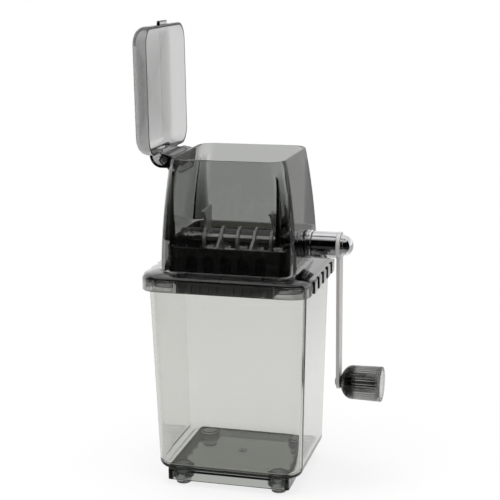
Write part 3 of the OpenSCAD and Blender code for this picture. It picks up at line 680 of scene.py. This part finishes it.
# %% Join ribs, lip, ears and boss, then cut the bores
ribs = [block("rib", (side * 61.9 - 0.9, y - 4.6, 149.15), (side * 61.9 + 0.9, y + 4.6, 158.4), 0.85, 4)
        for side in (-1, 1) for y in (-30, -15, 0, 15, 30)]
lip = loft("lip", [ring(54.84 - inset, 47.04 - inset, 10.8 - inset, z) for inset, z in (
    (0.3, 151.3), (0, 151.6), (0, 158.2), (1.6, 158.2), (1.6, 151.6), (1.3, 151.3))], joined=True)
carve(lip, "DIFFERENCE", block("middle", (-37, -60, 140), (37, 60, 170), 0))
boss = turned("boss", soften([(46.55, 0), (46.55, 10.2), (49.14, 10.2, 0.35), (49.14, 0)], 3, closed=False),
              0, SHAFT, joined=False)


def hopper_x(z):
    return -hopper_half(z)[0]


def ear_outline():
    disc = [(HINGE_X + u, HINGE_Z + v) for u, v in bend(3.85, 85, 285, 14)]
    return disc + [(hopper_x(225.5) + 1.1, 225.5), (hopper_x(240.5) + 1.1, 240.5)]


def round_bar(name, radius, low, high):
    """A bar along Y on the hinge's axis, used to cut the pin's way."""
    return plate(name, [(HINGE_X + u, HINGE_Z + v) for u, v in bend(radius, 0, 352.5, 47)], low, high)


ears = [carve(plate("ear", ear_outline(), low, high, edge=0.3), "DIFFERENCE",
              round_bar("pin_hole", 1.53, -30, 30), round_bar("pin_seat", 2.35, *seat))
        for low, high, seat in ((-24, -20, (-25, -23.1)), (20, 24, (23.1, 25)))]
web = plate("web", [(-45.0, 240.5), (hopper_x(240.5) + 1, 240.5), (hopper_x(225.5) + 1, 225.5),
                    (-45.0, 228.5)], -20.5, 20.5)
carve(hopper, "UNION", *ribs, lip, boss, web, *ears)
bore = turned("bore", [(42, 0), (42, 8.03), (52, 8.03), (52, 0)], 0, SHAFT, joined=False)
panels = [block("panel", (sx * 47.1 - 10, sy * 54 - 0.8, 150.25), (sx * 47.1 + 10, sy * 54 + 0.8, 156.6),
                0.45, 2) for sx in (-1, 1) for sy in (-1, 1)]
screws = [turned("screw", [(155, 0), (155, 1.13), (159.9, 1.13), (159.9, 0)], sx * 27.9, 0, y=sy * 44.6,
                 upright=True, steps=24, joined=False) for sx in (-1, 1) for sy in (-1, 1)]
carve(hopper, "DIFFERENCE", bore, *panels, *screws)
dress(hopper, dark_plastic, "crusher_head", "hopper_plastic", "hopper")

# %% [markdown]
# ## The lid
# A shallow tray with rounded edges, moulded with a deep hollow lug that wraps the hinge pin.
# Drawing it standing open would make every corner awkward, so it is drawn closed and then
# swung open about the pin by the same angle as in the CAD model.

# %% Make the lid closed, then swing it open
def lid_rings():
    rings = []
    for out, high in bend(0.5, -90, 0, 2):
        rings.append(ring(44.3 + out, 43.2 + out, 12.5 + out, 242.8 + high))
    for out, high in bend(7.5, 0, 82, 10):
        rings.append(ring(37.3 + out, 36.2 + out, 5.5 + out, 246.5 + high))
    for share in (0.9, 0.75, 0.55, 0.3, 0.1):
        rings.append(ring(37.3 * share, 36.2 * share, 5.5 * share, 254.1 + 1.1 * (1 - share * share)))
    hollow = [ring(37.3 + out, 36.2 + out, 5.5 + out, 246.5 + high) for out, high in bend(5.5, 90, 0, 8)]
    for out, high in bend(0.5, 0, 90, 2):
        hollow.append(ring(43.3 - out, 42.2 - out, 11.5 - out, 242.8 - high))
    return rings, hollow


outside, inside = lid_rings()
lid = loft("lid_moulding", inside + outside)
print("lid: open edges", sum(measure(lid)))


def lug_outline():
    barrel = [(HINGE_X + u, HINGE_Z + v) for u, v in bend(3.7, -90, 0, 10)]
    crown = [(HINGE_X + 2.5 + u, HINGE_Z + 3.5 + v) for u, v in bend(9, 90, 180, 12)]
    return barrel + [(HINGE_X + 3.7, 242.3), (HINGE_X + 5.9, 242.3), (HINGE_X + 5.9, 250.8)] + crown + [
        (HINGE_X - 6.5, HINGE_Z - 2.6), (HINGE_X - 6.1, HINGE_Z - 3.3), (HINGE_X - 5.3, HINGE_Z - 3.6)]


def lug_core():
    """The hollow inside the lug, with walls of 1.8 mm left all round and round the pin's barrel."""
    arc = [(HINGE_X + 2.5 + u, HINGE_Z + 3.5 + v) for u, v in bend(7.2, 90, 180, 12)]
    corners = [(HINGE_X + 4.0, HINGE_Z + 5.6), (HINGE_X + 4.0, HINGE_Z + 10.7)] + arc + [
        (HINGE_X - 4.7, HINGE_Z + 0.4), (HINGE_X - 3.6, HINGE_Z + 1.3)]
    barrel = [(HINGE_X + u, HINGE_Z + v) for u, v in bend(3.9, 150, 60, 8)]
    return plate("lug_core", corners + barrel, -17.8, 17.8)


lug = plate("lug", lug_outline(), -19.6, 19.6, edge=0.5, segments=3)
tab = block("tab", (43.4, -9, 243.7), (47.6, 9, 246.1), 1.15, 5)
carve(lug, "DIFFERENCE", lug_core())
carve(lid, "UNION", lug, tab)
pocket = block("pocket", (HINGE_X - 2.5, -11.5, 244.5), (-42.2, 11.5, 249.1), 1.2, 4)
carve(lid, "DIFFERENCE", pocket, round_bar("pin_way", 1.55, -30, 30))
hinge = Vector(mm(HINGE_X, 0, HINGE_Z))
swing = Matrix.Rotation(math.radians(-LID_OPEN), 4, "Y")
lid.data.transform(Matrix.Translation(hinge) @ swing @ Matrix.Translation(-hinge))
dress(lid, lid_plastic, "lid_body", "lid_plastic", "lid")

# %% Make the hinge pin
pin = turned("hinge_pin_turned", soften([
    (-23.95, 0), (-23.95, 2.3, 0.4), (-23.1, 2.3, 0.1), (-23.1, 1.5), (23.1, 1.5), (23.1, 2.3, 0.1),
    (23.95, 2.3, 0.4), (23.95, 0)], 4, closed=False), 0, 0, joined=False, steps=40)
pin.data.transform(Matrix.Translation(hinge) @ Matrix.Rotation(math.radians(90), 4, "Z"))
dress(pin, chrome, "crusher_head", "stainless", "hinge_pin")

# %% [markdown]
# ## Chrome on the shaft
# Between the claws sit plated sleeves. On a machine like this they are short tubes with broken
# edges, and the thin dark line between sleeve and claw is what tells them apart.

# %% Make the sleeves, collars and bushes
def sleeve(name, node, radius, bore, body):
    x0, x1 = ends(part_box(node))
    made = turned(name, soften([(x0, bore), (x0, radius, 0.5), (x1, radius, 0.5), (x1, bore)], 4), 0, SHAFT)
    return dress(made, chrome, body, "chrome", node)


for i in range(1, 5):
    sleeve(f"sleeve_{i}", f"spacer_{i}", 8.5, 4.7, "rotor")
for side in ("left", "right"):
    sleeve(f"end_sleeve_{side}", f"{side}_collar", 8.5, 4.7, "rotor")
sleeve("bush_left_plated", "left_bush", 8.0, 3.98, "crusher_head")
b0, b1 = ends(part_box("right_bush"))
flange = turned("bush_right_plated", soften([
    (b0, 4.75), (b0, 8.0, 0.4), (49.14, 8.0), (49.14, 10.2, 0.5), (51.0, 10.2, 0.3),
    (51.25, 9.7, 0.2), (51.5, 10.2, 0.3), (b1, 10.2, 0.9), (b1, 4.75)], 3), 0, SHAFT)
dress(flange, chrome, "crusher_head", "chrome", "right_bush")

# %% [markdown]
# ## The crank
# A plated hub slides on the shaft, a flat steel arm is clamped against it by a domed cap nut,
# and the arm's lower end is riveted to the knob's axle. The arm is cut from 2.4 mm strip, so
# its edges are only slightly broken.

# %% Make the hub, nut and arm
h0, h1 = ends(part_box("crank_hub"))
hub = turned("hub_plated", soften([(h0, 3.6), (h0, 9.8, 0.7), (h1, 9.8, 0.5), (h1, 3.6)], 5),
             0, SHAFT, steps=96)
dress(hub, chrome, "rotor", "chrome", "crank_hub")

a0, a1 = ends(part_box("crank_arm"))
arm_outline = [(u, KNOB_AXIS + v) for u, v in bend(5.5, 180, 360, 20)] + [(6.5, SHAFT - 7.33)] + [
    (u, SHAFT + v) for u, v in bend(9.8, -48, 228, 40)] + [(-6.5, SHAFT - 7.33)]
arm = plate("arm_strip", arm_outline, a0, a1, plane="yz", edge=0.35, segments=3)
dress(arm, steel_arm, "rotor", "stainless", "crank_arm")

n0, n1 = ends(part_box("cap_nut"))
rise = 5.92
dome = [(n1 - rise + rise * math.sin(math.radians(a)), 7.4 * math.cos(math.radians(a)))
        for a in range(0, 91, 6)]
skirt = soften([(n0, 2.62), (n0, 8.0, 0.3), (n0 + 2.0, 8.0, 0.4), (n0 + 2.0, 7.4, 0.15), (n1 - rise, 7.4)],
               4, closed=False)
nut_outline = skirt + dome[1:-1] + [(n1, 0.0)]
inner = [(n0 + 6.0, 0.0), (n0 + 6.0, 2.62)]
nut = turned("nut_domed", nut_outline + inner, 0, SHAFT, steps=96)
dress(nut, chrome, "rotor", "chrome", "cap_nut")

# %% [markdown]
# ## The knob
# A hollow cup of smoked plastic that spins on the axle. Its inside is lined with fine
# lengthwise ribs, which show through the wall as stripes, and a frosted cap closes its end.

# %% Make the knob and its cap
k0 = ends(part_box("knob"))[0]
lobes = 36


def fine_ribs(along, radius, a):
    """Ribs stand inward from the cup's wall, between the dome and the cap's seat."""
    inside_wall = 9.9 < radius < 10.6 and 10.5 < along - k0 < 26.5
    return -0.45 * (0.5 + 0.5 * math.cos(lobes * a)) if inside_wall else 0.0


dome = [(k0 + 8.5 - 8.5 * math.cos(math.radians(a)), 12.4 * math.sin(math.radians(a)))
        for a in range(0, 91, 6)]
outer = [(k0, 2.55), (k0, 4.5)] + [p for p in dome if p[1] > 4.6] + [
    (k0 + 18, 12.55), (k0 + 26.5, 12.82), (k0 + 26.9, 12.55), (k0 + 27.3, 12.55), (k0 + 27.7, 12.85),
    (k0 + 29.9, 12.9), (k0 + 30.5, 12.4)]
inner = [(k0 + 30.5, 10.9), (k0 + 30.2, 10.55), (k0 + 28.0, 10.55), (k0 + 28.0, 10.2), (k0 + 26.4, 10.2),
         (k0 + 18, 10.2), (k0 + 10.6, 10.2), (k0 + 9.7, 9.4), (k0 + 9.5, 8.6), (k0 + 9.5, 5.2),
         (k0 + 9.9, 4.55), (k0 + 25.1, 4.55), (k0 + 25.1, 2.55)]
knob = turned("knob_cup", outer + inner, 0, KNOB_AXIS, steps=lobes * 6, flute=fine_ribs)
dress(knob, knob_plastic, "knob_body", "knob_plastic", "knob")

c0, c1 = ends(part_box("knob_cap"))
cap = turned("knob_cap_disc", soften([
    (c0, 0), (c0, 10.45, 0.2), (c1, 10.45, 0.5), (c1 - 0.25, 7.5, 2.0), (c1 - 0.3, 0)], 4, closed=False),
    0, KNOB_AXIS, steps=72, joined=False)
dress(cap, cap_plastic, "knob_body", "cap_plastic", "knob_cap")

# %% [markdown]
# ## CAD pieces that keep their own shape
# The tray, the black frame, the combs, the claws, the shaft, the axle and the screws already
# have the right form. They get their finish and, through modifiers, a small round on each
# edge. The Weld modifier comes first, because an imported mesh is split along its edges.

# %% Finish the kept CAD nodes
def finish_node(node, finish, edge, segments=2):
    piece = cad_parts[node]
    for i in range(max(1, len(piece.material_slots))):
        if not piece.material_slots:
            piece.data.materials.append(finish)
        piece.material_slots[i].link = "OBJECT"
        piece.material_slots[i].material = finish
    weld = piece.modifiers.new("weld", "WELD")
    weld.merge_threshold = 1e-6
    if edge:
        bevel = piece.modifiers.new("edges", "BEVEL")
        bevel.width, bevel.segments = mm(edge), segments
        bevel.limit_method, bevel.angle_limit = "ANGLE", math.radians(40)
        bevel.harden_normals = True
    print(node, "keeps its form, edges", edge, "mm")


finish_node("base_tray", tray_plastic, 0.25)
finish_node("chamber_frame", black_plastic, 0.3)
for node in ("front_comb", "rear_comb"):
    finish_node(node, steel_comb, 0.2)
for i in range(1, 6):
    finish_node(f"claw_{i}", steel_claw, 0.22)
finish_node("drive_shaft", steel_across, 0.15)
finish_node("knob_axle", steel_across, 0.15)
for node in ("frame_screws", "comb_screws"):
    finish_node(node, steel_across, 0.1)

# %% [markdown]
# ## The table and the light
# The floor is a plain white sheet. For the camera and for anything seen in or through the
# plastic it glows a steady white, mixed near the part with ordinary white paint that keeps a
# soft shadow. In mirrors it is dark in front of the part and a little dimmer to its right, so
# that the undersides of the sleeves don't glare.
#
# The world does three jobs, told apart by the Light Path node: it is white behind everything
# seen directly or through plastic, a plain grey-white for the light on matt things, and for
# what mirrors show it is a studio. Behind, that studio is white and fades overhead. In front
# it is dark, with a bright band high up, which is what gives chrome its black band. Mirrors
# behind plastic find other bands than mirrors in the open, told by the Transmission Depth, so
# that the drum inside and the hub outside can each be lit by themselves.

# %% Floor
floor_mesh = bpy.data.meshes.new("floor")
floor_mesh.from_pydata([(-6, -6, 0), (6, -6, 0), (6, 6, 0), (-6, 6, 0)], [], [(0, 1, 2, 3)])
floor = bpy.data.objects.new("floor", floor_mesh)
bpy.context.scene.collection.objects.link(floor)
f = Finish("floor_white")
direct = f.node("LightPath", give="Is Camera Ray")
through = f.node("LightPath", give="Is Transmission Ray")
mirror = f.node("LightPath", give="Is Glossy Ray")
seen = direct.at_least(through).at_least(mirror)
spot = f.node("TexCoord", give="Object")
far = f.ramp(f.node("VectorMath", {"operation": "LENGTH"}, {0: spot}, give="Value"), (0.20, 0.0), (0.45, 1.0))
ahead = f.ramp(f.node("SeparateXYZ", {}, {0: spot}, give=1) + 1.0, (0.94, 0.03), (0.99, 1.0))
beside = f.ramp(f.node("SeparateXYZ", {}, {0: spot}, give=0) + 0.5, (0.60, 1.0), (0.64, 0.85), (0.74, 0.45))
reflected = f.node("LightPath", give="Glossy Depth").at_most(1.0)
paint = f.node("BsdfDiffuse", {}, {"Color": (0.86, 0.86, 0.86, 1)})
glow = f.node("Emission", {}, {"Color": 1.0 - reflected * (1.0 - ahead * beside), "Strength": 1.0})
sheet = f.node("MixShader", {}, {0: seen * (0.80 + 0.20 * far), 1: paint, 2: glow})
floor_mesh.materials.append(f.done(sheet))

# %% World
world = bpy.data.worlds.new("studio")
world.use_nodes = True
bpy.context.scene.world = world
w = Finish("world_nodes")
bpy.data.materials.remove(w.material)
w.tree = world.node_tree
w.tree.nodes.clear()
scatter = w.node("LightPath", give="Is Diffuse Ray")
passed = w.node("LightPath", give="Transmission Depth").at_most(1.0)
mirrored = w.node("LightPath", give="Glossy Depth").at_most(1.0)
direction = w.node("TexCoord", give="Generated")
height = w.node("SeparateXYZ", {}, {0: direction}, give=2)
front = w.ramp(0.5 - 10 * w.node("SeparateXYZ", {}, {0: direction}, give=1), (0.3, 0.0), (0.7, 1.0))
ceiling_front = w.ramp(height, (0.70, 0.0), (0.82, 0.35), (0.88, 0.62), (0.955, 0.62), (0.972, 0.08),
                       (0.992, 0.08), (1.0, 0.5))
ceiling_back = w.ramp(height, (0.0, 1.0), (0.55, 0.75), (0.8, 0.6), (0.94, 0.9), (1.0, 0.5))
inner_front = w.ramp(height, (0.58, 0.05), (0.66, 1.0), (0.84, 1.0), (0.92, 0.12), (1.0, 0.08))
inner_back = w.ramp(height, (0.0, 0.35), (0.4, 0.45), (0.7, 0.15), (1.0, 0.10))
outside = front * ceiling_front + (1.0 - front) * ceiling_back
inside = front * inner_front + (1.0 - front) * inner_back
studio = (1.0 - passed) * outside + passed * inside
shown = 1.0 - mirrored * (1.0 - studio)
brightness = shown * (1.0 - scatter) + 0.75 * scatter
shine = w.node("Background", {}, {"Color": brightness, "Strength": 1.0})
end = w.tree.nodes.new("ShaderNodeOutputWorld")
w.tree.links.new(shine.socket, end.inputs["Surface"])

# %% Lamps
def softbox(name, where, aim, size, power):
    lamp = bpy.data.lights.new(name, "AREA")
    lamp.shape, lamp.size, lamp.size_y, lamp.energy = "RECTANGLE", size[0], size[1], power
    stand = bpy.data.objects.new(name, lamp)
    stand.location = where
    stand.rotation_euler = (Vector(aim) - Vector(where)).to_track_quat("-Z", "Y").to_euler()
    stand.visible_camera = stand.visible_transmission = stand.visible_glossy = False
    bpy.context.scene.collection.objects.link(stand)


softbox("softbox_top", (0.0, -0.1, 1.3), (0, 0, 0.15), (1.0, 0.8), 9.0)
softbox("softbox_left", (-1.1, -0.7, 0.7), (0, 0, 0.15), (0.5, 0.9), 3.5)
bpy.context.scene.view_settings.view_transform = "Standard"
